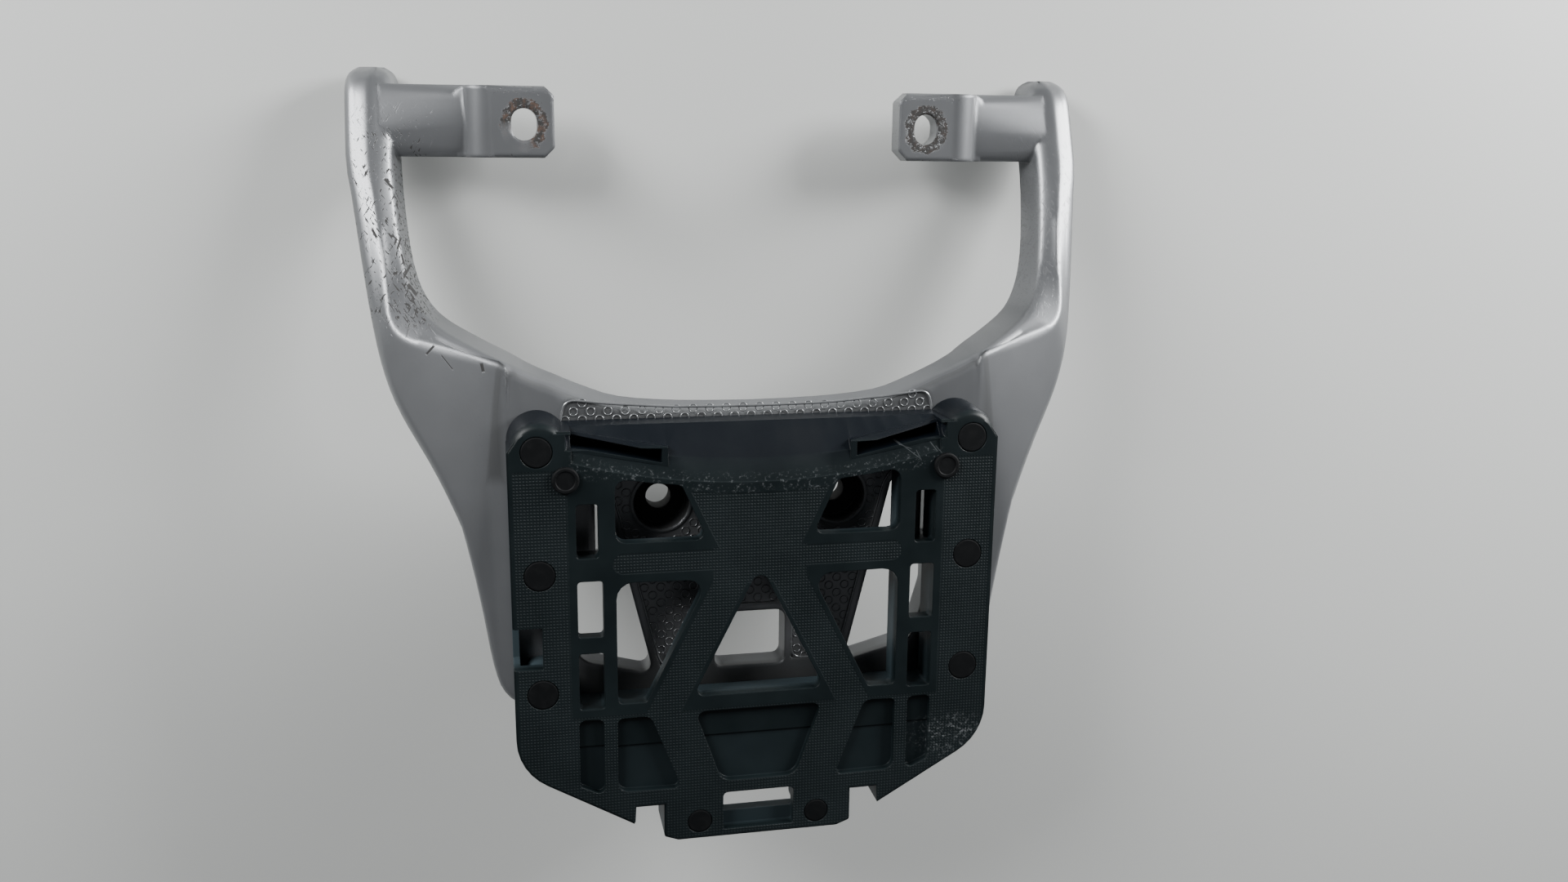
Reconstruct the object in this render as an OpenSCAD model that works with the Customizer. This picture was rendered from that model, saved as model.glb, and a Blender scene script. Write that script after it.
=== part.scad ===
// Motorcycle luggage rack: a cast carrier with two grip arms and a moulded top-case plate.
// The origin lies midway between the two centre bolts, on the face that sits on the seat rails.
// +X is the rider's right, +Y points forward along the grips, +Z is up.

/* [Casting deck] */
// Height of the deck top above the bolt seat face
deck_top = 25; // [22:0.5:30]
// Thickness of the deck behind the crossbar
deck_t = 15; // [12:0.5:18]
// Front edge of the crossbar at the middle
front_y = 47.5; // [46:0.5:52]
// Rear edge of the casting
rear_y = -101; // [-110:1:-96]
// Half width at which the flat deck ends and the wings begin to slope
crease_x = 115.5; // [112:0.5:122]
// Half width of the wings at the rear corners
wing_x = 124; // [121:1:130]
// Depth of the textured field below its rim
field_depth = 0.8; // [0.4:0.1:1.5]
// Width of the plain rim between the field and an edge
rim_w = 3.5; // [2:0.5:5]

/* [Grips] */
// Half width over the grips
grip_x = 187; // [180:1:200]
// Width of a grip
grip_w = 25; // [22:1:28]
// Height of a grip
grip_h = 27; // [24:1:32]
// Front end of the grips
grip_end_y = 204; // [196:1:230]
// Fall of the grips for each millimetre forward
grip_fall = 0.38; // [0.3:0.01:0.46]

/* [Bolt bores] */
// Distance between the two centre bolts
bolt_pitch = 88; // [80:1:96]
// Diameter of the centre bolt bores
bolt_bore_d = 12.5; // [10:0.5:14]
// Diameter of the counterbores for the bolt heads
bolt_head_d = 27; // [24:0.5:32]
// Height of the bolt seats above the seat face
bolt_seat_z = 12; // [8:0.5:16]
// Outer diameter of the bolt bosses
boss_d = 40; // [36:1:46]

/* [Tabs] */
// Distance between the two tab slots
tab_pitch = 204.6; // [190:0.2:220]
// Distance of the tab slots in front of the centre bolts
tab_y = 177.5; // [165:0.5:182]
// Height of the tab face, below the bolt seat face
tab_top = -34; // [-40:0.5:-30]
// Thickness of a tab
tab_t = 13; // [10:0.5:16]
// Side of the square tab pad
tab_side = 32; // [28:1:36]
// Width of the tab slot
slot_w = 12.5; // [10:0.5:14]
// Length of the tab slot along the grips
slot_l = 15.5; // [14.5:0.5:18]

/* [Plate] */
// Half width of the plate
plate_x = 116.5; // [114:0.5:120]
// Height of the plate
plate_h = 26; // [24:0.5:32]
// Front face of the plate between its ears
plate_front_y = 42; // [40:0.5:44]
// Tail edge of the plate
plate_tail_y = -165.5; // [-172:0.5:-164]
// Thickness of the plate's top web
web_t = 7; // [5:0.5:9]
// Thickness of the plate's outer skirt
skirt_t = 3.2; // [2.5:0.1:4]
// Depth of the blind pockets
pocket_depth = 3; // [2:0.5:4]
// Half width over the middle of the slot columns
slot_col_x = 80.5; // [79.5:0.5:81.5]
// Width of the slots beside the columns
slot_col_w = 12; // [10:0.5:13]
// Half width of the hourglass frame's outer posts
post_x = 68.5; // [67.5:0.5:69]
// Height of the front edge of the ramp above the plate's underside
ramp_edge_h = 13; // [11:0.5:15]
// Y of the ramp's upper edge on the centre line
ramp_arc_y = 15.3; // [14:0.1:17]
// Rise of the upper edge of the ramp towards the ears
ramp_arc_rise = 11.5; // [9:0.5:12.5]

/* [Pads] */
// Half distance between the side pads
pad_x = 103.5; // [102.5:0.5:104]
// Y of the middle side pads
pad_mid_y = -25.5; // [-28:0.5:-23]
// Distance between the side pads along the plate
pad_pitch = 58.5; // [57:0.5:60]
// Diameter of the side pads
pad_d = 14.5; // [12:0.5:15.5]
// Half distance between the tail pads
tail_pad_x = 29.3; // [27:0.1:31]
// Distance of the tail pads in front of the tail edge
tail_pad_in = 9.3; // [8.5:0.1:11]
// Diameter of the tail pads
tail_pad_d = 12; // [10:0.5:13]
// Thickness of the pads
pad_t = 3; // [2:0.1:3.5]
// Diameter of the raised buffers
buffer_d = 12.6; // [11:0.1:13.5]
// Height that the buffers stand proud
buffer_proud = 1.8; // [1:0.1:3]
// Diameter of the stems under pads and buffers
stem_d = 5; // [4:0.5:6]

/* [Plate screws] */
// Thread diameter of the plate screws
screw_d = 6; // [5:0.5:6]
// Head diameter of the plate screws
screw_head_d = 10.5; // [10:0.5:11]
// Head height of the plate screws
screw_head_h = 4; // [3:0.5:5]
// Free height between a screw head and the pad above it
screw_head_gap = 2; // [0.5:0.5:3]
// Outer diameter of the washers
washer_d = 14; // [12:0.5:16]
// Thickness of the washers
washer_t = 1.4; // [1:0.1:2]
// Width across flats of the nuts
nut_af = 10; // [9:0.5:10]
// Height of the nuts
nut_h = 5; // [4:0.5:6]
// Length of screw that shows below the nuts
screw_tail = 1.5; // [0.5:0.5:3]

/* [Hidden] */
SIDES = [["left", -1], ["right", 1]];
ROWS = [["front", 1], ["mid", 0], ["rear", -1]];
$fn = 48;
eps = 0.01;
fit = 0.15;             // radial clearance round a pad
screw_clear = 0.3;      // radial clearance round a plate screw
cast_color = [0.62, 0.63, 0.65];
plate_color = [0.11, 0.14, 0.15];
rubber_color = [0.05, 0.06, 0.07];
steel_color = [0.55, 0.56, 0.57];

plate_z = deck_top;
plate_top = deck_top + plate_h;
deck_under = deck_top - deck_t;
grip_in = grip_x - grip_w;
front_pad_y = pad_mid_y + pad_pitch;
rear_pad_y = pad_mid_y - pad_pitch;
tail_pad_y = plate_tail_y + tail_pad_in;
screw_seat_h = plate_h - pad_t - screw_head_gap - screw_head_h;
buffer_x = pad_x - 12.7;
buffer_y = front_pad_y - 13.3;

// Plan helpers
function unit2(v) = v / max(norm(v), 0.0001);
function flip_x(p) = [for (i = [len(p) - 1:-1:0]) [-p[i][0], p[i][1], p[i][2]]];
function mirror_list(half) = concat(half, flip_x(half));

// Corners [x, y, radius] of a polygon become arcs of n steps
function corner_arc(a, b, c, r, n) =
    let (u = unit2(a - b), v = unit2(c - b),
         half = acos(max(-1, min(1, u * v))) / 2,
         reach = min(r / tan(half), 0.49 * norm(a - b), 0.49 * norm(c - b)),
         rad = reach * tan(half),
         m = b + unit2(u + v) * rad / sin(half),
         s = b + u * reach - m,
         e = b + v * reach - m,
         turn = sign(s[0] * e[1] - s[1] * e[0]) * acos(max(-1, min(1, unit2(s) * unit2(e)))))
    [for (i = [0:n]) let (t = turn * i / n)
        [m[0] + s[0] * cos(t) - s[1] * sin(t), m[1] + s[0] * sin(t) + s[1] * cos(t)]];
function xy(p) = [p[0], p[1]];
function rounded(pts, n = 4) = [
    for (i = [0:len(pts) - 1])
        let (b = pts[i], a = pts[(i + len(pts) - 1) % len(pts)], c = pts[(i + 1) % len(pts)])
        each (b[2] > 0 ? corner_arc(xy(a), xy(b), xy(c), b[2], n) : [xy(b)])
];

module prism(pts, z0, z1, n = 4) {
    translate([0, 0, z0]) linear_extrude(z1 - z0) polygon(rounded(pts, n));
}

module both_sides() {
    for (s = SIDES) scale_side(s[1]) children();
}

module scale_side(s) {
    if (s > 0) children();
    else mirror([1, 0, 0]) children();
}

// Loft stations of the casting, from the middle to the end of a grip. Each one is
// [inner point, outer point, crest point, inner top z, inner bottom z,
//  outer shoulder z, outer edge z, outer bottom z]; a crest point is [x, y, z].
function grip_z(y) = deck_top - 30 - grip_fall * (y - 93);
function grip_station(y, tuck, cut) = let (z = grip_z(y), low = z - grip_h + cut)
    [[grip_in + tuck, y], [grip_x - tuck, y], [grip_x - 9 - tuck * 0.5, y, z - cut],
     z - 2 - cut, low, z - 3.5 - cut, z - 10 - cut * 0.4, low + 1];
elbow = grip_x - 187;
STATIONS = [
    [[0, front_y], [0, rear_y], [0, rear_y + 40, deck_top], deck_top, deck_under, deck_top, deck_top - 4, deck_under],
    [[35, front_y + 0.8], [35, rear_y], [35, rear_y + 40, deck_top], deck_top, deck_under, deck_top, deck_top - 4, deck_under],
    [[63, front_y + 3.5], [63, rear_y], [66, rear_y + 40, deck_top], deck_top, deck_under, deck_top, deck_top - 4, deck_under],
    [[80, front_y + 9], [92, rear_y], [crease_x - 22, rear_y + 36, deck_top], deck_top, deck_under - 1, deck_top, deck_top - 4, deck_under],
    [[94, front_y + 15], [wing_x - 13, rear_y + 0.5], [crease_x - 4, rear_y + 30, deck_top], deck_top, deck_under - 2, deck_top - 0.3, deck_top - 4, deck_under],
    [[101, front_y + 17.7], [wing_x - 3, rear_y + 7], [crease_x, rear_y + 34, deck_top], deck_top, deck_under - 5, deck_top - 1, deck_top - 5, deck_under],
    [[106, front_y + 20], [wing_x + 2, rear_y + 22], [crease_x, rear_y + 55, deck_top], deck_top, deck_under - 7, deck_top - 1.5, deck_top - 5, deck_under],
    [[110.5, front_y + 22.3], [wing_x + 6, rear_y + 48], [crease_x, rear_y + 95, deck_top], deck_top, deck_under - 10, deck_top - 2, deck_top - 5, deck_under],
    [[115, front_y + 24.5], [wing_x + 10.5, rear_y + 73], [crease_x + 0.5, 66, deck_top], deck_top - 1, deck_under - 13, deck_top - 2.5, deck_top - 6, deck_under],
    [[125.5, front_y + 29], [wing_x + 17, rear_y + 100], [128.5, 70.5, deck_top - 5], deck_top - 6, deck_under - 20, deck_top - 5, deck_top - 8, deck_under - 3],
    [[136, 81.5], [wing_x + 28.5, 22], [141.5, 73.5, deck_top - 11], deck_top - 13, deck_under - 27, deck_top - 11, deck_top - 16, deck_under - 10],
    [[144 + elbow * 0.6, 85.5], [162 + elbow * 0.6, 35], [151 + elbow * 0.6, 76, deck_top - 16], deck_top - 18.5, deck_under - 34, deck_top - 17, deck_top - 26, deck_under - 22],
    [[150 + elbow * 0.8, 91], [170.5 + elbow * 0.8, 52], [159.8 + elbow * 0.8, 79, deck_top - 20], deck_top - 24, deck_under - 40, deck_top - 22, deck_top - 30, deck_under - 30],
    [[154.5 + elbow, 99], [175 + elbow, 73], [167.3 + elbow, 85.2, deck_top - 25], deck_top - 29, deck_under - 45, deck_top - 26, deck_top - 33, deck_under - 37],
    [[157.3 + elbow, 108], [178 + elbow, 93], [170.5 + elbow, 98, grip_z(98)], grip_z(108), grip_z(108) - grip_h, grip_z(98) - 3.5, grip_z(93) - 10, grip_z(93) - grip_h],
    [[159.5 + elbow, 122], [181 + elbow, 113], [172.3 + elbow, 117, grip_z(117)], grip_z(122) - 1, grip_z(122) - grip_h, grip_z(117) - 3.5, grip_z(113) - 10, grip_z(113) - grip_h + 1],
    [[161 + elbow, 138], [183.5 + elbow, 136], [175 + elbow, 137, grip_z(137)], grip_z(138) - 2, grip_z(138) - grip_h, grip_z(137) - 3.5, grip_z(136) - 10, grip_z(136) - grip_h + 1],
    grip_station((138 + grip_end_y) / 2 - 9, 0, 0),
    grip_station(grip_end_y - 18, 0, 0),
    grip_station(grip_end_y - 9, 0.3, 0.6),
    grip_station(grip_end_y - 3, 2.2, 3.2),
    grip_station(grip_end_y, 6.5, 8)
];

// Smooth blend of the stations without overshoot, flattened to one list of numbers each
function flat_station(s) = concat(s[0], s[1], s[2], [for (i = [3:7]) s[i]]);
flat = [for (s = STATIONS) flat_station(s)];
function slope(d0, d1) = d0 * d1 <= 0 ? 0 : sign(d0) * min(abs(d0 + d1) / 2, 2.5 * abs(d0), 2.5 * abs(d1));
function hermite(p, q, m, n, t) =
    p + m * t + (3 * (q - p) - 2 * m - n) * t * t + (2 * (p - q) + m + n) * t * t * t;
function spline(a, b, c, d, t) = [for (i = [0:len(b) - 1])
    hermite(b[i], c[i], slope(b[i] - a[i], c[i] - b[i]), slope(c[i] - b[i], d[i] - c[i]), t)];
last = len(flat) - 1;
steps = 3;
function at_station(i) = flat[max(0, min(last, i))];
half_sections = [
    for (i = [0:last - 1]) for (k = [0:steps - 1])
        spline(i == 0 ? at_station(0) : at_station(i - 1), at_station(i), at_station(i + 1), at_station(i + 2), k / steps),
    flat[last]
];

// One closed ring of points from the inner bottom over the top to the outer bottom
top_r = 6;
edge_r = 7;
foot_r = 4;
draft = 2.5;
crest_w = 2.2;
function ring(f, side) =
    let (p = [f[0], f[1]], q = [f[2], f[3]], c = [f[4], f[5]],
         zc = min(f[6], deck_top), zi = min(f[7], deck_top), zib = f[8],
         zs = min(f[9], deck_top), ze = f[10], zob = f[11],
         u = unit2(c - p), v = unit2(q - c), w = norm(c - p),
         tr = min(top_r, 0.45 * w), er = min(edge_r, 0.7 * norm(q - c)), fr = foot_r,
         drop = min(tr, 0.4 * (zi - zib)))
    [for (e = concat(
        [for (k = [0:2]) let (a = 45 * k) concat(p + u * fr * (1 - sin(a)), zib + fr * (1 - cos(a)))],
        [for (k = [0:3]) let (a = 30 * k) concat(p + u * (draft + tr * (1 - cos(a))), zi - drop * (1 - sin(a)))],
        [concat(c - u * crest_w, zc - 0.25 * (zc - zi) * crest_w / max(w - draft - tr, crest_w)),
         concat(c, zc - (zc < deck_top - 0.01 ? 0.3 : 0)),
         concat(c + v * crest_w, zc + (zs - zc) * crest_w / max(norm(q - c) - er, crest_w))],
        [for (k = [0:3]) let (a = 30 * k) concat(q - v * er * (1 - sin(a)), ze + (zs - ze) * cos(a))],
        [for (k = [0:2]) let (a = 45 * k) concat(q - v * (draft * 0.6 + fr * (1 - cos(a))), zob + fr * (1 - sin(a)))]
    )) [side * e[0], e[1], e[2]]];

// A closed solid through rows of points that run from -X to +X. A row's one hollow corner, if any, is its first point.
module skin(rings) {
    rows = len(rings);
    m = len(rings[0]);
    polyhedron([for (r = rings) each r], concat(
        [for (i = [0:rows - 2]) for (j = [0:m - 1]) let (a = i * m + j, b = i * m + (j + 1) % m) each [[a, b + m, b], [a, a + m, b + m]]],
        [[for (j = [0:m - 1]) j]],
        [[for (j = [m:-1:1]) (rows - 1) * m + j % m]]
    ), convexity = 10);
}

module casting_loft() {
    n = len(half_sections);
    skin(concat([for (i = [n - 1:-1:1]) ring(half_sections[i], -1)], [for (i = [0:n - 1]) ring(half_sections[i], 1)]));
}

// Windows of the deck
window_top = -57.8;
window_low = -86.5;
window_x = 17.9;
vee_top_x = 71.5;       // half width of the middle web level with y = 8
vee_slope = 0.245;
side_top = 8;
function vee_x(y) = vee_top_x - vee_slope * (side_top - y);
function centre_window(e = 0) = mirror_list([
    [window_x + e, window_low - e, 4], [window_x + e, window_top + e, 5]
]);
function side_window(e = 0) = [
    [vee_x(window_low) - e, window_low - 1.5 - e, 4], [84 + e, -78.5 - e, 9], [92 + e, -50, 20],
    [92 + e, side_top + e, 8], [vee_x(side_top) - e, side_top + e, 4]
];

// The textured field: crossbar end to end, then down the middle web beside the window
function field_outline() = mirror_list([
    [window_x + rim_w, window_low + 2, 0], [vee_x(window_low) - rim_w, window_low + 2, 2],
    [vee_x(side_top) - rim_w, side_top, 4], [89.5 + rim_w, side_top + 24, 6], [89.5, front_y + 4.5, 4],
    [68, front_y + 1.8, 30], [36, front_y - 0.6, 30], [0.5, front_y - 1, 0]
]);

module textured_field() {
    difference() {
        prism(field_outline(), deck_top - field_depth, deck_top + 1, 5);
        prism(centre_window(rim_w), deck_top - 1 - field_depth, deck_top + 2);
        both_sides() translate([bolt_pitch / 2, 0, deck_top - 1 - field_depth])
            cylinder(d = bolt_head_d + 3, h = 3 + field_depth);
    }
}

// Cored-out underside, clear of bosses and screw seats
module underside_cores() {
    core_top = deck_top - 5;
    both_sides() {
        prism([[97, -72, 4], [119, -72, 4], [123, -40, 4], [97, -40, 4]], deck_under - 30, core_top);
        prism([[97, -34, 4], [123, -34, 4], [128, -6, 4], [125, 16, 6], [97, 16, 4]], deck_under - 30, core_top);
    }
    prism([[-20, 14, 4], [20, 14, 4], [20, 36, 4], [-20, 36, 4]], deck_under - 30, core_top);
    prism([[-20, -48, 4], [20, -48, 4], [20, 6, 4], [-20, 6, 4]], deck_under - 30, core_top);
}

// Sections along the grips, [y, z] about the slot centre and the tab face
far_round = 2.8;        // the rounded edge on the far side of tab and bar
function tab_profile() = let (h = tab_side / 2) [
    [-h, -tab_t], [-h, -1.2], [-h + 1.2, 0], [h - 0.4, 0],
    for (a = [20:20:80]) [h - 0.4 + far_round * sin(a), -3.4 * (1 - cos(a))],
    [h - 0.4 + far_round, -4.4], [h - 0.4 + far_round, -tab_t + 2], [h - 2, -tab_t]
];
function bar_profile() = let (h = tab_side / 2) [
    [-h, -8.5], [-h + 2, -6.8], [-h + 5, -5.5], [0, -4], [h - 5, -5.4], [h - 1, -7.2],
    [h - 0.4 + far_round, -10.5], [h - 0.4 + far_round, -tab_t - 2], [h - 2, -tab_t - 5], [-h + 2, -tab_t - 5], [-h, -tab_t - 3]
];

module tab() {
    hx = tab_pitch / 2;
    end_x = hx - 14.5;
    ridge_x = end_x + tab_side;
    y0 = tab_y - tab_side / 2;
    y1 = tab_y + tab_side / 2 + far_round;
    cut = 5;
    difference() {
        union() {
            intersection() {
                translate([end_x, tab_y, tab_top]) rotate([90, 0, 90]) linear_extrude(tab_side) polygon(tab_profile());
                prism([[end_x + cut, y0, 0], [ridge_x + 1, y0, 0], [ridge_x + 1, y1, 0], [end_x + cut, y1, 0],
                       [end_x, y1 - cut, 2], [end_x, y0 + cut, 2]], tab_top - tab_t - 1, tab_top + 1);
            }
            // ridge and the hollow step down to the bar
            translate([0, tab_y + tab_side / 2, tab_top]) rotate([90, 0, 0]) linear_extrude(tab_side) polygon(concat(
                [[ridge_x - 3, -tab_t], [ridge_x - 3, -0.05], [ridge_x - 1.5, 0.3]],
                [for (a = [0:15:75]) [ridge_x + 11.5 * sin(a), 0.6 - 8 * (1 - cos(a))]],
                [[ridge_x + 15, -6.5], [ridge_x + 15, -tab_t - 5], [ridge_x + 6, -tab_t - 5]]
            ));
            // bar into the grip
            translate([ridge_x + 2, tab_y, tab_top]) rotate([90, 0, 90])
                linear_extrude(grip_in + 9 - ridge_x - 2) polygon(bar_profile());
        }
        // slot
        for (dy = [-1, 1]) translate([hx, tab_y + dy * (slot_l - slot_w) / 2, tab_top - tab_t - 1])
            cylinder(d = slot_w, h = tab_t + 3);
        translate([hx - slot_w / 2, tab_y - (slot_l - slot_w) / 2, tab_top - tab_t - 1])
            cube([slot_w, slot_l - slot_w, tab_t + 3]);
    }
}

module cast_rack() {
    color(cast_color) difference() {
        union() {
            difference() {
                casting_loft();
                textured_field();
                underside_cores();
                prism(centre_window(), -50, deck_top + 5, 5);
                both_sides() prism(side_window(), -50, deck_top + 5, 5);
            }
            both_sides() translate([bolt_pitch / 2, 0, 0]) cylinder(d = boss_d, h = deck_under + 1);
            both_sides() for (y = [front_pad_y, rear_pad_y])
                translate([pad_x, y, deck_under]) cylinder(d = washer_d + 3, h = deck_t / 2);
            both_sides() tab();
            // parting rib across the rear bar
            translate([-0.8, rear_y + 1.5, deck_top - 1]) cube([1.6, 9, 2 - 1.2]);
        }
        both_sides() {
            translate([bolt_pitch / 2, 0, -1]) cylinder(d = bolt_bore_d, h = deck_top + 2);
            translate([bolt_pitch / 2, 0, bolt_seat_z]) cylinder(d = bolt_head_d, h = deck_top);
            for (y = [front_pad_y, rear_pad_y]) {
                translate([pad_x, y, -30]) cylinder(d = screw_d + 2 * screw_clear, h = 70);
                translate([pad_x, y, deck_under - 25]) cylinder(d = washer_d + 2, h = 25);
            }
        }
    }
}

// Plate outline, pulled in by e; the tail block stands between two notches
tail_x = 46.8;
notch_x = 61.3;
notch_y = plate_tail_y + 19.5;
function plate_half(e) = [
    [40, plate_tail_y + e, 2], [tail_x - e, plate_tail_y + 2.5 + e, 1.5],
    [tail_x - e, notch_y + e, 0], [notch_x - e, notch_y + e, 0], [notch_x - e * 0.4, plate_tail_y + 10.6 + e * 1.4, 0],
    [plate_x - e, plate_tail_y + 42.8 + e * 0.8, 28], [plate_x + 0.3 - e, front_pad_y, 0],
    [plate_x - 6 - e * 0.4, plate_front_y - e, 5]
];
function plate_outline(e = 0) = mirror_list(plate_half(e));

// Openings of the plate, right side
bar_top = -11.7;        // lower edge of the upper openings
bar_low = -30.7;        // upper edge of the middle openings
low_edge = -91.5;       // lower edge of the middle openings and slots
function upper_opening() = [
    [post_x, bar_top, 5], [post_x, 19.5, 5], [52, 16.8, 20], [37.5, 15.2, 4], [25.4, bar_top, 3.5]
];
function middle_opening() = [
    [post_x, low_edge, 3], [post_x, bar_low, 8], [25, bar_low - 0.8, 6], [54.8, low_edge, 2.5]
];
function centre_opening() = mirror_list([[32.6, low_edge + 1.2, 3.5], [2.6, bar_low - 0.2, 6]]);
function slot_rows() = [[-18.3, 7.8], [-57, -29.3], [-93.2, -64.8]];
function side_pocket() = [[post_x + 0.6, plate_tail_y + 28.5, 5], [post_x + 0.4, -98.8, 3], [53, -98.6, 5], [38.3, plate_tail_y + 28, 2.5]];
function column_pocket() = let (x0 = slot_col_x - slot_col_w / 2, x1 = slot_col_x + slot_col_w / 2 + 0.6)
    [[x1, plate_tail_y + 33, 2], [x1, -98.3, 3], [x0 + 0.6, -98.6, 3], [x0 + 0.6, plate_tail_y + 27, 3]];
function centre_pocket() = mirror_list([[18.6, plate_tail_y + 29.8, 7], [31.6, -98.2, 3.5]]);
tail_window_top = plate_tail_y + 23.6;

module pocket(pts, split_y) {
    // the part nearer the tail lies a step deeper
    intersection() {
        prism(pts, plate_top - pocket_depth - 1, plate_top + 1);
        union() {
            translate([-plate_x, split_y, plate_top - pocket_depth]) cube([2 * plate_x, 200, 10]);
            translate([-plate_x, split_y - 200, plate_top - pocket_depth - 1]) cube([2 * plate_x, 200 + eps, 10]);
        }
    }
}

// Ramp: an arc edge on the top, a shallow lead-in band, then a steeper face down to the front
ramp_half = 88;
ramp_r = (pow(86, 2) + pow(ramp_arc_rise, 2)) / (2 * ramp_arc_rise);
lead_w = 10.5;
lead_drop = 2.2;
ramp_steps = 20;
function ramp_arc(x) = ramp_arc_y + ramp_r - sqrt(ramp_r * ramp_r - x * x);
function ramp_section(x) = let (
        a = ramp_arc(x), b = min(a + lead_w, plate_front_y - 6), zb = plate_top - lead_drop,
        zf = plate_z + ramp_edge_h - 1.2 * pow(x / ramp_half, 2), fall = (zb - zf) / (plate_front_y - b)) [
    [x, b, zb], [x, plate_front_y + 6, zf - 6 * fall], [x, plate_front_y + 6, plate_top + 4],
    [x, a, plate_top + 4], [x, a, plate_top - 0.3], [x, a + 0.6, plate_top - 0.6]
];
module ramp_cut() {
    skin([for (i = [0:ramp_steps]) ramp_section(ramp_half * (2 * i / ramp_steps - 1))]);
}

// Wedge-shaped hook slot and its raised frame, right side
hook_wall = 2.5;
function hook_quad(e) = [
    [43.5 + e, 24 + e * 0.9, 0], [91 - e, 33.2 + e * 0.6, 0], [91 - e, plate_front_y - 0.9 - e * 0.6, 0], [43.5 + e, 33.2 - e * 0.9, 0]
];
module hook_frame() {
    intersection() {
        difference() {
            prism(hook_quad(0), plate_z, plate_top);
            prism(hook_quad(hook_wall), plate_z - 1, plate_top + 1);
        }
        // frame top falls from the near edge to the ramp's front edge
        translate([40, 0, plate_z]) rotate([90, 0, 90]) linear_extrude(56)
            polygon([[20, 0], [20, plate_h - 1.4], [33, plate_h - 1.4], [plate_front_y + 1, ramp_edge_h + 1], [plate_front_y + 1, 0]]);
    }
}

module ear() {
    translate([pad_x - 1, front_pad_y + 0.5, plate_z]) rotate_extrude() polygon([
        [0, 0], [14, 0], [13.2, plate_h - 5], [12.6, plate_h - 2.2], [11.4, plate_h - 0.7], [10, plate_h], [0, plate_h]
    ]);
}

module plate_body() {
    chamfer = 0.8;
    difference() {
        union() {
            // top web, with a chamfered upper edge
            prism(plate_outline(0), plate_top - web_t, plate_top - chamfer, 6);
            prism(plate_outline(chamfer), plate_top - web_t, plate_top, 6);
            // skirt down to the deck
            difference() {
                prism(plate_outline(0), plate_z, plate_top - web_t + eps, 6);
                prism(plate_outline(skirt_t), plate_z - 1, plate_top - web_t, 6);
            }
            both_sides() {
                // towers under the pads and webs beside the columns
                for (y = [front_pad_y, pad_mid_y, rear_pad_y])
                    translate([pad_x, y, plate_z]) cylinder(d = pad_d + 5, h = plate_h - 1);
                for (x = [post_x + 1.2, slot_col_x + slot_col_w / 2 + 0.3])
                    translate([x, low_edge - 4, plate_z + 6]) cube([2.4, 112, plate_h - 8]);
                translate([tail_pad_x, tail_pad_y, plate_z]) cylinder(d = tail_pad_d + 5, h = plate_h - 1);
            }
            // cross ribs under the web
            for (y = [bar_top - 11.5, low_edge - 4])
                translate([-plate_x + 1, y, plate_z + 6]) cube([2 * plate_x - 2, 2.8, plate_h - 8]);
            // front wall behind the ramp
            translate([-89, plate_front_y - 26, plate_z]) cube([178, 26, ramp_edge_h + 8]);
        }
        ramp_cut();
        // hollow under the ramp
        translate([-39, plate_front_y - 28, plate_z - 1]) cube([78, 28 - skirt_t, ramp_edge_h - 2]);
        both_sides() prism(hook_quad(0.4), plate_z - 1, plate_top + 1);
    }
    both_sides() {
        ear();
        hook_frame();
    }
}

module case_plate() {
    color(plate_color) difference() {
        plate_body();
        prism(centre_opening(), plate_z - 1, plate_top + 1, 6);
        prism(under_recess(), plate_z - 1, plate_z + 5);
        pocket(centre_pocket(), -112);
        // tail window with its lower ledge
        prism(mirror_list([[17.7, tail_window_top - 13, 1], [17.7, tail_window_top, 2.5]]), plate_z - 1, plate_top + 1);
        prism(mirror_list([[17.7, tail_window_top - 20, 1], [17.7, tail_window_top, 2.5]]), plate_top - 6, plate_top + 1);
        both_sides() {
            prism(upper_opening(), plate_z - 1, plate_top + 1);
            prism(middle_opening(), plate_z - 1, plate_top + 1);
            for (r = slot_rows()) prism([
                [slot_col_x + slot_col_w / 2, r[0], 1.8], [slot_col_x + slot_col_w / 2, r[1], 1.8],
                [slot_col_x - slot_col_w / 2, r[1], 1.8], [slot_col_x - slot_col_w / 2, r[0], 1.8]
            ], plate_z - 1, plate_top + 1);
            pocket(side_pocket(), -114);
            pocket(column_pocket(), -113);
            // recesses of the flush pads, and the screw bores under the front and rear ones
            for (y = [front_pad_y, pad_mid_y, rear_pad_y])
                translate([pad_x, y, plate_top - pad_t]) cylinder(r = pad_d / 2 + fit, h = pad_t + 1);
            for (y = [front_pad_y, rear_pad_y]) {
                translate([pad_x, y, plate_z + screw_seat_h]) cylinder(d = screw_head_d + 1, h = plate_h);
                translate([pad_x, y, plate_z - 1]) cylinder(d = screw_d + 2 * screw_clear, h = plate_h);
            }
            translate([pad_x, pad_mid_y, plate_top - web_t]) cylinder(r = stem_d / 2 + fit, h = web_t);
            translate([tail_pad_x, tail_pad_y, plate_top - pad_t]) cylinder(r = tail_pad_d / 2 + fit, h = pad_t + 1);
            translate([tail_pad_x, tail_pad_y, plate_top - web_t]) cylinder(r = stem_d / 2 + fit, h = web_t);
            translate([buffer_x, buffer_y, plate_top - web_t - 1]) cylinder(r = stem_d / 2 + fit, h = web_t + 2);
        }
        // side notch on the left
        translate([-plate_x - 1, -71.2, plate_z + 8]) cube([plate_x + 1 - pad_x + 0.5, 20.4, plate_h]);
    }
}
function under_recess() = mirror_list([[16, plate_tail_y + 32, 3], [26, -104, 3]]);

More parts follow.
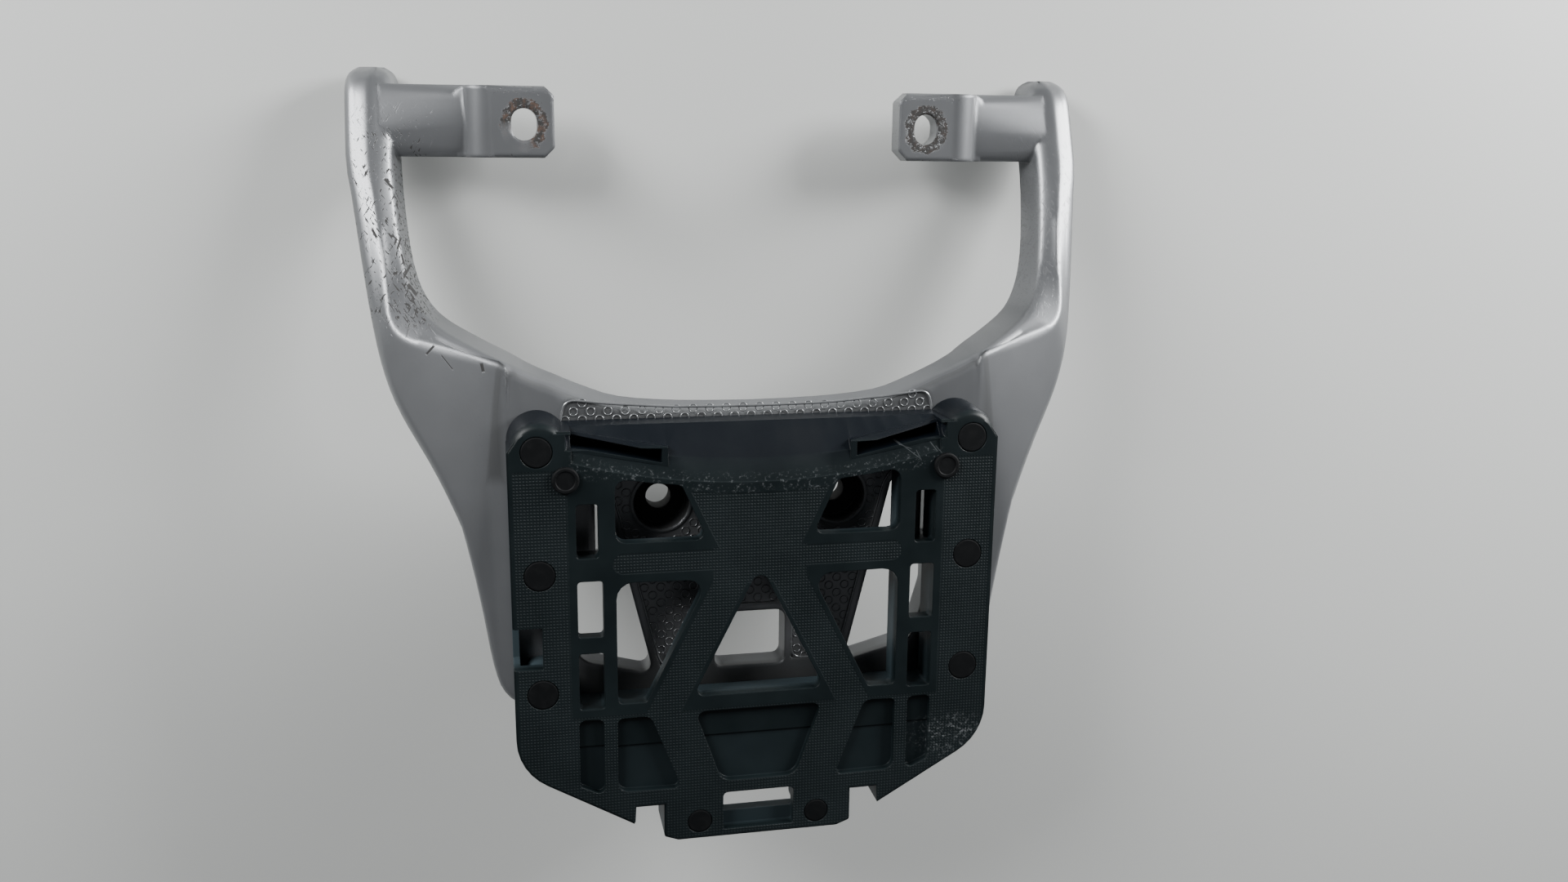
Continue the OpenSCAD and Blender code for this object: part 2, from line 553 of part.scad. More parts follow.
module disc_pad(d, t, lift, stem) {
    rotate_extrude() polygon(concat(
        stem > 0 ? [[0, -stem], [stem_d / 2, -stem], [stem_d / 2, 0]] : [[0, 0]],
        [[d / 2, 0], [d / 2, t + lift - 0.7], [d / 2 - 0.2, t + lift - 0.2], [d / 2 - 0.7, t + lift], [0, t + lift]]
    ));
}
module side_pad(s, row) {
    stem = row == 0 ? web_t - pad_t - 0.5 : 0;
    color(rubber_color) translate([s * pad_x, pad_mid_y + row * pad_pitch, plate_top - pad_t]) disc_pad(pad_d, pad_t, 0, stem);
}
module tail_pad(s) {
    color(rubber_color) translate([s * tail_pad_x, tail_pad_y, plate_top - pad_t])
        disc_pad(tail_pad_d, pad_t, 0, web_t - pad_t - 0.5);
}
module buffer(s) {
    color(rubber_color) translate([s * buffer_x, buffer_y, plate_top]) difference() {
        disc_pad(buffer_d, 0, buffer_proud, web_t - 1);
        // shallow dish inside the rim
        translate([0, 0, buffer_proud - 0.4]) cylinder(d1 = buffer_d - 4.2, d2 = buffer_d - 3.4, h = 0.4 + eps);
    }
}

// Hidden fixing of the plate to the casting
module plate_screw(s, row) {
    top = plate_z + screw_seat_h;
    length = top - (deck_under - washer_t - nut_h - screw_tail);
    color(steel_color) translate([s * pad_x, pad_mid_y + row * pad_pitch, top]) difference() {
        union() {
            cylinder(d = screw_head_d, h = screw_head_h);
            translate([0, 0, -length]) cylinder(d = screw_d, h = length + eps);
        }
        translate([0, 0, screw_head_h - 2.2]) cylinder(d = 4.6, h = 3, $fn = 6);
    }
}
module washer(s, row) {
    color(steel_color) translate([s * pad_x, pad_mid_y + row * pad_pitch, deck_under - washer_t]) difference() {
        cylinder(d = washer_d, h = washer_t);
        translate([0, 0, -1]) cylinder(d = screw_d + 2 * screw_clear, h = washer_t + 2);
    }
}
module nut(s, row) {
    color(steel_color) translate([s * pad_x, pad_mid_y + row * pad_pitch, deck_under - washer_t - nut_h]) difference() {
        cylinder(d = nut_af / cos(30), h = nut_h, $fn = 6);
        translate([0, 0, -1]) cylinder(d = screw_d + 0.1, h = nut_h + 2);
    }
}

cast_rack();
case_plate();
for (s = SIDES) {
    for (r = ROWS)
        side_pad(s[1], r[1]);
    tail_pad(s[1]);
    buffer(s[1]);
    for (r = [ROWS[0], ROWS[2]]) {
        plate_screw(s[1], r[1]);
        washer(s[1], r[1]);
        nut(s[1], r[1]);
    }
}
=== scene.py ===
import math

import bmesh
import bpy
import mathutils
from mathutils import Matrix, Vector


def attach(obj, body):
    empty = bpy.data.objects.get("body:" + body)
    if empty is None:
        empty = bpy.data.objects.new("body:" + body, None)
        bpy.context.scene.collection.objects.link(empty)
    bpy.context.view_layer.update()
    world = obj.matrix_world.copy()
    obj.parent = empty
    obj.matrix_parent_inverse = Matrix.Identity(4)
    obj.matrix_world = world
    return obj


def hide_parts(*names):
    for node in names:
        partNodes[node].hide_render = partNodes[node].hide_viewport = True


mm = 0.001
boltX = 44.0  # the two centre bolts stand this far from the middle
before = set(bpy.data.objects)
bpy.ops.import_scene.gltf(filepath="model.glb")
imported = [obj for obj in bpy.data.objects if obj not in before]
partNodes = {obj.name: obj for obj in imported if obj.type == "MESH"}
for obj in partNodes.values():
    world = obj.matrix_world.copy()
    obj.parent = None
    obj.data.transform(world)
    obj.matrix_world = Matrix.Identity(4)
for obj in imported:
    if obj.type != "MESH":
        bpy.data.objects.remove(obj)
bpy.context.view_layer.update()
print("frame loaded:", len(partNodes), "nodes")


# Shader building: a Wire is a socket that can be used in plain arithmetic
class Wire:
    def __init__(self, look, socket):
        self.look = look
        self.socket = socket

    def calc(self, operation, *others):
        return self.look.node("ShaderNodeMath", {"operation": operation}, (self,) + others)

    def __add__(self, other):
        return self.calc("ADD", other)

    def __sub__(self, other):
        return self.calc("SUBTRACT", other)

    def __rsub__(self, other):
        return self.look.node("ShaderNodeMath", {"operation": "SUBTRACT"}, (other, self))

    def __mul__(self, other):
        return self.calc("MULTIPLY", other)

    def __truediv__(self, other):
        return self.calc("DIVIDE", other)

    def __abs__(self):
        return self.calc("ABSOLUTE")

    def __and__(self, other):  # the smaller of two masks
        return self.calc("MINIMUM", other)

    def __or__(self, other):  # the larger of two masks
        return self.calc("MAXIMUM", other)

    def clamp(self):
        return self.look.node("ShaderNodeClamp", None, {0: self})

    def cosine(self):
        return self.calc("COSINE")

    def root(self):
        return self.calc("SQRT")

    def soft(self, width):  # signed distance in mm to a mask, width mm wide
        return (self / width + 0.5).clamp()

    __radd__ = __add__
    __rmul__ = __mul__


class Look:
    def __init__(self, name, **shader):
        self.material = bpy.data.materials.new(name)
        self.material.use_nodes = True
        self.tree = self.material.node_tree
        self.tree.nodes.clear()
        self.shader = self.tree.nodes.new("ShaderNodeBsdfPrincipled")
        out = self.tree.nodes.new("ShaderNodeOutputMaterial")
        self.tree.links.new(self.shader.outputs[0], out.inputs[0])
        for socket, value in shader.items():
            self.shader.inputs[socket.replace("_", " ")].default_value = value

    def feed(self, socket, value):
        if isinstance(value, Wire):
            self.tree.links.new(value.socket, socket)
        else:
            socket.default_value = value

    def node(self, kind, settings=None, inputs=None, output=0):
        made = self.tree.nodes.new(kind)
        for key, value in (settings or {}).items():
            setattr(made, key, value)
        pairs = inputs.items() if isinstance(inputs, dict) else enumerate(inputs or ())
        for key, value in pairs:
            self.feed(made.inputs[key], value)
        return Wire(self, made.outputs[output])

    def place(self):  # object coordinates in millimetres
        spot = self.node("ShaderNodeTexCoord", output="Object")
        return self.node("ShaderNodeVectorMath", {"operation": "SCALE"}, {0: spot, "Scale": 1.0 / mm})

    def axes(self, spot):
        made = self.tree.nodes.new("ShaderNodeSeparateXYZ")
        self.tree.links.new(spot.socket, made.inputs[0])
        return [Wire(self, made.outputs[k]) for k in range(3)]

    def noise(self, spot, scale, detail=3.0, rough=0.55, drawn=(1, 1, 1), turn=0.0, move=(0, 0, 0)):
        if drawn != (1, 1, 1) or turn or move != (0, 0, 0):
            # marks drawn out along axes that are turned by so many degrees
            spot = self.node("ShaderNodeMapping", {"vector_type": "TEXTURE"},
                             {"Vector": spot, "Location": move, "Rotation": (0, 0, math.radians(turn)),
                              "Scale": drawn})
        return self.node("ShaderNodeTexNoise", None,
                         {"Vector": spot, "Scale": scale, "Detail": detail, "Roughness": rough})

    def blend(self, factor, a, b):
        colour = lambda c: c if isinstance(c, Wire) else (*c, 1.0)
        return self.node("ShaderNodeMix", {"data_type": "RGBA"}, {0: factor, 6: colour(a), 7: colour(b)}, 2)

    def bump(self, height, depth, strength, under):
        return self.node("ShaderNodeBump", None, {"Height": height, "Distance": depth * mm,
                                                  "Strength": strength, "Normal": under})

    def softEdge(self, radius):  # rounds the shading of sharp corners
        return self.node("ShaderNodeBevel", {"samples": 6}, {"Radius": radius * mm})

    def scratch(self, x, y, at, turn, length, width):  # one straight mark, as a mask
        c = math.cos(math.radians(turn))
        s = math.sin(math.radians(turn))
        along = x * c + y * s - (at[0] * c + at[1] * s)
        across = y * c - x * s - (at[1] * c - at[0] * s)
        return (length / 2 - abs(along)).soft(1.2) & (width / 2 - abs(across)).soft(0.35)

    def give(self, **wires):
        for socket, value in wires.items():
            self.feed(self.shader.inputs[socket.replace("_", " ")], value)
        return self.material


# Silver paint on the casting, with nicks on the grips and worn rings round the tab slots
paint = dict(
    # the dust colour also serves as painted shade on the deck's rear bar; the bolt wells' colour is painted
    # shade
    silver=(0.162, 0.168, 0.175), silverDeep=(0.136, 0.141, 0.147), dustAndShade=(0.080, 0.083, 0.085),
    grime=(0.006, 0.005, 0.004), rust=(0.050, 0.024, 0.013), wellShade=(0.008, 0.008, 0.008),
    roughness=0.36, metallic=0.62, coat=0.35, edge=2.6,
    # where things lie, in mm: dust, painted shade, nicks on the grips, the tabs with their rings, the bolt
    # wells
    fieldLow=23.6, fieldHigh=24.6, dustFrontY=14.0, dustShadeRearY=-78.0, dustShadeRearX=96.0, deckLow=21.0,
    gripX=(150.0, 183.5), gripY=(84.0, 176.0), innerLine=(156.5, 0.075), innerFrontY=150.0, lowestZ=-60.0,
    nickLevel=0.655, nickSharp=22.0,
    tabX=(84.0, 121.0), tabRearY=160.0, tabLowZ=-36.0, tabHalfY=14.2, tabHalfX=14.0,
    slotX=102.3, slotY=177.5, ringIn=6.6, ringOut=11.3, wellRadius=13.6, wellTop=23.5,
    marks=[  # centre, direction in degrees, length and width of the deepest nicks
        (-167, 149, -51, 5.5, 1.0), (-173.9, 126.2, -62, 4.0, 1.0), (-159.8, 108.3, 61, 5.5, 0.9),
        (-157.4, 100.3, -58, 6.5, 0.9), (-149.5, 74.3, 48, 5.0, 0.8), (-126, 67.4, -79, 3.6, 1.3),
        (-142, 69, -52, 7.5, 0.4), (-163, 121.3, 72, 5.0, 0.8), (-161.4, 114, -76, 5.0, 0.7),
    ],
)


def silverPaint():
    look = Look("silverPaint", Coat_Roughness=0.12)
    spot = look.place()
    x, y, z = look.axes(spot)
    ax = abs(x)
    cloud = look.noise(spot, 0.03, 2.0)
    speck = look.noise(spot, 2.2, 2.0, 0.6)
    base = look.blend(((cloud - 0.3) * 1.6).clamp(), paint["silverDeep"], paint["silver"])
    # dust on the sunk field in front of the plate; dust and painted shade darken the deck's rear bar
    inField = (paint["fieldHigh"] - z).soft(0.4) & (z - paint["fieldLow"]).soft(0.4)
    base = look.blend((inField & (y - paint["dustFrontY"]).soft(6)) * 0.75, base, paint["dustAndShade"])
    rearDustAndShade = (paint["dustShadeRearY"] - y).soft(12) & (paint["dustShadeRearX"] - ax).soft(8)
    base = look.blend((rearDustAndShade & (z - paint["deckLow"]).soft(3)) * 0.9, base, paint["dustAndShade"])
    # short dark nicks slanting across the grips, heavier on the left and along its inner edge
    onGrip = (ax - paint["gripX"][0]).soft(10) & (y - paint["gripY"][0]).soft(14)
    onGrip = onGrip & (paint["gripY"][1] - y).soft(24)
    onLeft = (0 - x).soft(2)
    heavyLeft = onLeft * 0.85 + 0.15
    outerLimit = (paint["gripX"][1] - ax).soft(5)
    edgeX, edgeSlope = paint["innerLine"]
    innerEdge = (y * edgeSlope + edgeX - ax).soft(7) & (paint["innerFrontY"] - y).soft(14)
    nickA = look.noise(spot, 0.62, 2.0, 0.5, (3.0, 0.55, 1.6), -56)
    nickB = look.noise(spot, 0.55, 2.0, 0.5, (3.0, 0.6, 1.6), 62, (7, 3, 1))
    where = look.noise(spot, 0.07, 2.0, 0.5, move=(40, 0, 0))
    level = paint["nickLevel"] - innerEdge * 0.055 - ((where - 0.42) * 4).clamp() * 0.045
    sharp = paint["nickSharp"]
    nicks = ((nickA - level) * sharp).clamp() | ((nickB - level - 0.015) * sharp).clamp()
    nicks = nicks * onGrip * heavyLeft * outerLimit
    for markX, markY, turn, length, width in paint["marks"]:
        nicks = nicks | look.scratch(x, y, (markX, markY), turn, length, width)
    nicks = (nicks * 1.5).clamp() & (z - paint["lowestZ"]).soft(8)
    # small chips, mostly along the edges of the tabs
    tabX = ax - paint["slotX"]
    tabY = y - paint["slotY"]
    onTab = (ax - paint["tabX"][0]).soft(2) & (paint["tabX"][1] - ax).soft(2)
    onTab = onTab & (y - paint["tabRearY"]).soft(2)
    tabEdge = onTab & ((abs(tabY) - paint["tabHalfY"]) | (0 - tabX - paint["tabHalfX"])).soft(1.5)
    chips = look.noise(spot, 0.8, 3.0, 0.6, move=(3, 11, 5))
    chip = ((chips - 0.72 + tabEdge * 0.10) * 30).clamp() & ((where - 0.3) * 5).clamp()
    # worn rings round the tab slots, heaviest at the top and towards the middle
    away = (tabX * tabX + tabY * tabY * 0.85).root()
    ragged = (look.noise(spot, 0.30, 4.0, 0.7) - 0.5) * 6
    heavy = (tabY * 0.8 - tabX * 0.6 + away * (1.7 - onLeft * 0.65)) / away
    ring = (paint["ringOut"] + ragged - away).soft(1.2) & (away - paint["ringIn"]).soft(1.0) & heavy.clamp()
    flakes = ((look.noise(spot, 0.75, 5.0, 0.75) - 0.40) * 16).clamp()
    ring = (ring * 1.7).clamp() * (z - paint["tabLowZ"]).soft(1.0) * onTab * flakes
    rusty = ((look.noise(spot, 0.35, 3.0, 0.6) - 0.46) * 5).clamp() * (onLeft * 0.75 + 0.25)
    rustMix = look.blend(rusty, paint["grime"], paint["rust"])
    # painted shade darkens the bolt wells nearly to black
    besideBolt = ax - boltX
    fromBolt = (besideBolt * besideBolt + y * y).root()
    shadedWell = (paint["wellRadius"] - fromBolt).soft(1.5) & (paint["wellTop"] - z).soft(3)
    colour = look.blend(nicks * 0.92, base, paint["grime"])
    colour = look.blend(chip * 0.8, colour, paint["grime"])
    colour = look.blend(ring * 0.95, colour, rustMix)
    colour = look.blend(shadedWell * 0.92, colour, paint["wellShade"])
    # bare and dirty spots, and the shaded bolt wells, have lost their gloss and their clear coat
    dull = nicks | chip | ring | shadedWell
    rough = paint["roughness"] + (speck - 0.5) * 0.14 + dull * 0.45 + inField * 0.08
    height = speck * 0.05 - (nicks | chip) * 0.6 - ring * 0.25
    return look.give(Base_Color=colour, Roughness=rough, Metallic=paint["metallic"] - dull * 0.6,
                     Coat_Weight=(1 - dull) * paint["coat"],
                     Normal=look.bump(height, 0.35, 0.5, look.softEdge(paint["edge"])))


# The same paint on the small rings and the bead, painted a little brighter: a painted highlight where they
# catch the light
reliefHighlightTones = dict(low=(0.15, 0.155, 0.16), high=(0.26, 0.27, 0.28), roughness=0.26)


def reliefPaint():
    look = Look("reliefPaint", Coat_Weight=paint["coat"], Coat_Roughness=0.10, Metallic=paint["metallic"])
    patchy = look.noise(look.place(), 0.08, 2.0)
    colour = look.blend(((patchy - 0.35) * 2).clamp(), reliefHighlightTones["low"], reliefHighlightTones["high"])
    return look.give(Base_Color=colour, Roughness=reliefHighlightTones["roughness"] + (patchy - 0.5) * 0.2)


# Moulded black plastic with its fine grid
plastic = dict(
    black=(0.0030, 0.0056, 0.0064), faded=(0.0065, 0.0105, 0.0118), scuff=(0.085, 0.092, 0.096),
    # the pocket colour is painted light on the pockets' floors; the ramp colour is painted shade, with a
    # painted reflection
    pocket=(0.030, 0.044, 0.051), ramp=(0.0010, 0.0024, 0.0044), stud=(0.022, 0.028, 0.030),
    roughness=0.44, pitch=1.5, gridDepth=0.16, top=51.0,
    pocketTop=44.0, pocketFrontY=12.0, rampRearY=15.0, rampTop=49.0, wornLow=36.0,
    # outlines of the gridded areas, in mm: bands, tail and strip, then the hourglass, then the legs
    bandX=90.2, edgeX=114.4, bandFrontY=24.0, tailY=-97.2, stripY=-21.7, stripHalf=5.0, stripX=64.8,
    crownY=10.0, crownBow=620.0, crownX=23.5, crownSlopeY=-8.3, crownSlope=0.474, crownRearY=-22.0,
    waistHalf=22.5, waistFrontY=-16.0, waistRearY=-34.0,
    legOutX=25.0, legOutY=-31.5, legOutSlope=0.497, legRim=2.6,
    legInX=4.8, legInY=-30.9, legInSlope=0.505, legFrontY=-24.0, legMeetY=-28.5, legRearY=-99.0,
    # the scuffed shoulder of the ramp, and the right rear corner with its radius
    shoulderY=14.5, shoulderBow=655.0, shoulderHalf=4.5, shoulderX=88.0, corner=(98.0, -122.0, 14.0),
    scratches=[  # centre, direction in degrees, length and width of the marks at the right hook slot
        (73, 27, -37, 12, 0.2), (77, 25, -64, 5, 0.2), (70, 29.5, -22, 7, 0.2),
        (84.5, 29, -52, 5, 0.3), (87, 27.5, -49, 4, 0.2),
    ],
)


def blackPlastic():
    look = Look("blackPlastic", Specular_IOR_Level=0.20)
    spot = look.place()
    x, y, z = look.axes(spot)
    ax = abs(x)
    # where the grid lies: side bands, tail, hourglass with its arms, and the two legs
    sideBand = (ax - plastic["bandX"]) & (plastic["edgeX"] - ax) & (plastic["bandFrontY"] - y)
    tail = (plastic["tailY"] - y) & (plastic["edgeX"] - ax)
    armX = (ax - plastic["stripX"]) | 0
    armY = y - plastic["stripY"]
    arms = plastic["stripHalf"] - (armX * armX + armY * armY).root()
    crownFront = plastic["crownY"] + x * x / plastic["crownBow"] - y
    crownSide = plastic["crownX"] + (y - plastic["crownSlopeY"]) * plastic["crownSlope"] - ax
    crown = crownFront & crownSide & (y - plastic["crownRearY"])
    waist = (plastic["waistHalf"] - ax) & (plastic["waistFrontY"] - y) & (y - plastic["waistRearY"])
    legOuter = plastic["legOutX"] - (y - plastic["legOutY"]) * plastic["legOutSlope"] - plastic["legRim"] - ax
    legInner = ax - (plastic["legInX"] - (y - plastic["legInY"]) * plastic["legInSlope"])
    legs = legOuter & (legInner | (y - plastic["legMeetY"])) & (plastic["legFrontY"] - y)
    legs = legs & (y - plastic["legRearY"])
    area = sideBand | tail | arms | crown | waist | legs
    grid = area.soft(0.5) * (z - plastic["top"] + 0.7).soft(0.4)
    wave = lambda along: (along * (2 * math.pi / plastic["pitch"])).cosine() * 0.5 + 0.5
    studs = ((wave(x) * wave(y) - 0.22) * 1.9).clamp()
    grain = look.noise(spot, 3.0, 2.0, 0.6)
    cloud = look.noise(spot, 0.035, 3.0, 0.55)
    # scuffs along the shoulder of the ramp, the right rear corner and a few stray ones
    shoulderLine = plastic["shoulderY"] + x * x / plastic["shoulderBow"]
    shoulder = (plastic["shoulderHalf"] - abs(y - shoulderLine)).soft(3) * (plastic["shoulderX"] - ax).soft(5)
    cornerX = x - plastic["corner"][0]
    cornerY = y - plastic["corner"][1]
    fromCorner = (cornerX * cornerX * 0.6 + cornerY * cornerY * 1.5).root()
    corner = (plastic["corner"][2] - fromCorner).soft(10)
    fine = look.noise(spot, 0.62, 4.0, 0.75, turn=29)
    worn = ((fine - 0.56) * 9).clamp() * shoulder * 0.6
    worn = worn | (((fine - 0.54) * 9).clamp() * corner * 0.9)
    for markX, markY, turn, length, width in plastic["scratches"]:
        worn = worn | (look.scratch(x, y, (markX, markY), turn, length, width) * 0.6)
    stray = ((look.noise(spot, 0.16, 5.0, 0.8, move=(9, 2, 4)) - 0.70) * 12).clamp() * 0.5
    worn = (worn | stray) * (z - plastic["wornLow"]).soft(2)
    base = look.blend(((cloud - 0.35) * 1.8).clamp(), plastic["black"], plastic["faded"])
    # pockets painted lighter: painted light standing in for the light that reaches their floors
    litPocket = (plastic["pocketTop"] - z).soft(8) & (plastic["pocketFrontY"] - y).soft(6)
    base = look.blend(litPocket, base, plastic["pocket"])
    # the ramp face painted darker and bluer: painted shade with a painted reflection
    shadedRamp = (y - plastic["rampRearY"]).soft(4) & (plastic["rampTop"] - z).soft(2)
    base = look.blend(shadedRamp, base, plastic["ramp"])
    base = look.blend(grid * studs * 0.30, base, plastic["stud"])
    colour = look.blend(worn, base, plastic["scuff"])
    rough = plastic["roughness"] + (grain - 0.5) * 0.12 + (cloud - 0.5) * 0.16 + worn * 0.2 + grid * 0.06
    height = grid * (studs - 1.0) + grain * 0.06 + worn * 0.15
    return look.give(Base_Color=colour, Roughness=rough,
                     Normal=look.bump(height, plastic["gridDepth"], 0.9, look.softEdge(0.6)))


# Rubber of the pads and buffers, zinc of the fasteners
smallFinish = dict(
    rubber=(0.0012, 0.0016, 0.0020), rubberDust=(0.0045, 0.0050, 0.0055), rubberRoughness=0.62,
    zincDark=(0.42, 0.42, 0.41), zincPale=(0.60, 0.60, 0.58), zincRoughness=0.36,
)


def rubber():
    look = Look("padRubber", Specular_IOR_Level=0.15)
    spot = look.place()
    dust = look.noise(spot, 0.25, 4.0, 0.7)
    grain = look.noise(spot, 4.0, 2.0, 0.6)
    colour = look.blend(((dust - 0.5) * 2.4).clamp(), smallFinish["rubber"], smallFinish["rubberDust"])
    return look.give(Base_Color=colour, Roughness=smallFinish["rubberRoughness"] + (dust - 0.5) * 0.25,
                     Normal=look.bump(grain, 0.06, 0.6, look.softEdge(0.3)))


def zincSteel():
    look = Look("zincSteel", Metallic=1.0)
    spot = look.place()
    patch = look.noise(spot, 0.4, 3.0, 0.6)
    colour = look.blend(patch, smallFinish["zincDark"], smallFinish["zincPale"])
    return look.give(Base_Color=colour, Roughness=smallFinish["zincRoughness"] + (patch - 0.5) * 0.3,
                     Normal=look.bump(patch, 0.05, 0.4, look.softEdge(0.25)))


silver = silverPaint()
relief = reliefPaint()
black = blackPlastic()
padRubber = rubber()
zinc = zincSteel()
print("materials made")


# Mesh helpers
weldGap = 0.02  # mm


def addObject(name, data):
    made = bpy.data.objects.new(name, data)
    bpy.context.scene.collection.objects.link(made)
    return made


def meshObject(name, verts, edges=(), faces=()):  # points are given in mm
    mesh = bpy.data.meshes.new(name)
    mesh.from_pydata([tuple(c * mm for c in vert) for vert in verts], edges, faces)
    return addObject(name, mesh)


def smoothCopy(node, name, angle):  # edges that turn by less than the angle are shaded smooth
    source = partNodes[node]
    mesh = source.data.copy()
    mesh.name = name
    made = addObject(name, mesh)
    work = bmesh.new()
    work.from_mesh(mesh)
    bmesh.ops.remove_doubles(work, verts=work.verts, dist=weldGap * mm)
    bmesh.ops.dissolve_degenerate(work, edges=work.edges, dist=weldGap * mm)
    limit = math.radians(angle)
    for face in work.faces:
        face.smooth = True
    for edge in work.edges:
        edge.smooth = len(edge.link_faces) == 2 and edge.calc_face_angle(0) < limit
    work.to_mesh(mesh)
    work.free()
    return made


def dress(made, material):
    made.data.materials.clear()
    made.data.materials.append(material)


def weighNormals(made, group=""):  # flat faces stay flat to their edges, in the named group or everywhere
    even = made.modifiers.new("evenShading", "WEIGHTED_NORMAL")
    even.keep_sharp = True
    even.vertex_group = group


def settle(made, name, body="root"):  # evaluated result becomes a plain mesh
    graph = bpy.context.evaluated_depsgraph_get()
    mesh = bpy.data.meshes.new_from_object(made.evaluated_get(graph))
    mesh.name = name
    made.modifiers.clear()
    made.data = mesh
    made.name = name
    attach(made, body)


# The grips' sections from the wing outwards, in mm. A row holds inner point, outer point, crest point, then
# the heights of crest, inner top, inner bottom, outer shoulder, outer edge and outer bottom.
grips = dict(
    inX=162.0, outX=187.0, endY=204.0, crestBack=9.0, fall=0.38, bendY=93.0, bendDrop=30.0, high=27.0,
    deck=25.0, steps=3, rootRadius=4.0, topRadius=6.0, innerLean=2.5, outerLean=1.5, castRadius=7.0,
    shoulderFall=3.5, edgeFall=10.0, crestHalf=2.2, match=0.05,
    # what the dressed grips change: crest nearer the outer edge, round shoulder, ridge and bar ends
    crestIn=10.5, crestThin=0.7, shoulderDrop=1.9, edgeRadius=5.6, edgeDrop=7.4,
    fairRow=4, fairPasses=10, fairFrontY=140.0,
    roundFrom=20, ridgeX=(115.0, 134.0), ridgeEnd=193.5, ridgeLack=2.2,
    barEnd=171.0, barY=(160.0, 197.0), barSink=1.85,
    wing=[
        (110.5, 69.8, 130.0, -53.0, 115.5, -6.0, 25.0, 25.0, 0.0, 23.0, 20.0, 10.0),
        (115.0, 72.0, 134.5, -28.0, 116.0, 66.0, 25.0, 24.0, -3.0, 22.5, 19.0, 10.0),
        (125.5, 76.5, 141.0, -1.0, 128.5, 70.5, 20.0, 19.0, -10.0, 20.0, 17.0, 7.0),
        (136.0, 81.5, 152.5, 22.0, 141.5, 73.5, 14.0, 12.0, -17.0, 14.0, 9.0, 0.0),
        (144.0, 85.5, 162.0, 35.0, 151.0, 76.0, 9.0, 6.5, -24.0, 8.0, -1.0, -12.0),
        (150.0, 91.0, 170.5, 52.0, 159.8, 79.0, 5.0, 1.0, -30.0, 3.0, -5.0, -20.0),
        (154.5, 99.0, 175.0, 73.0, 167.3, 85.2, 0.0, -4.0, -35.0, -1.0, -8.0, -27.0),
    ],
    crest={5: (162.0, 77.2), 6: (170.6, 85.0)},
    bends=[  # inner, crest and outer point, then how far the inner top sinks and the outer bottom lifts
        ((157.3, 108), (170.5, 98), (178, 93), 0, 0), ((159.5, 122), (172.3, 117), (181, 113), 1, 1),
        ((161, 138), (175, 137), (183.5, 136), 2, 1),
    ],
    tip=[  # distance from the end, then how far the sides tuck in and the top is cut away
        (42, 0, 0), (18, 0, 0), (9, 0.3, 0.6), (3, 2.2, 3.2), (0, 6.5, 8),
    ],
)


def gripHeight(y):
    return grips["deck"] - grips["bendDrop"] - grips["fall"] * (y - grips["bendY"])


def bendRow(inner, crest, outer, sink, lift):
    zi = gripHeight(inner[1])
    zc = gripHeight(crest[1])
    zo = gripHeight(outer[1])
    return (*inner, *outer, *crest, zc, zi - sink, zi - grips["high"],
            zc - grips["shoulderFall"], zo - grips["edgeFall"], zo - grips["high"] + lift)


def tipRow(fromEnd, tuck, cut):
    y = grips["endY"] - fromEnd
    z = gripHeight(y)
    low = z - grips["high"] + cut
    crestX = grips["outX"] - grips["crestBack"] - tuck * 0.5
    shoulder = z - grips["shoulderFall"] - cut
    edge = z - grips["edgeFall"] - cut * 0.4
    return (grips["inX"] + tuck, y, grips["outX"] - tuck, y, crestX, y, z - cut, z - 2 - cut, low,
            shoulder, edge, low + 1)


def gripRows():
    bends = [bendRow(*bend) for bend in grips["bends"]]
    tips = [tipRow(*tip) for tip in grips["tip"]]
    return grips["wing"] + bends + tips


def slopeOf(before, after):
    if before * after <= 0:
        return 0.0
    return math.copysign(min(abs(before + after) / 2, 2.5 * abs(before), 2.5 * abs(after)), before)


def blendRows(rows, steps):  # smooth rows between the given ones
    out = []
    for i in range(1, len(rows) - 1):
        a, b, c = rows[i - 1], rows[i], rows[i + 1]
        d = rows[min(i + 2, len(rows) - 1)]
        for t in [k / steps for k in range(steps)]:
            line = []
            for j in range(len(b)):
                gap = c[j] - b[j]
                m = slopeOf(b[j] - a[j], gap)
                n = slopeOf(gap, d[j] - c[j])
                line.append(b[j] + m * t + (3 * gap - 2 * m - n) * t * t + (m + n - 2 * gap) * t ** 3)
            out.append(line)
    return out + [list(rows[-1])]


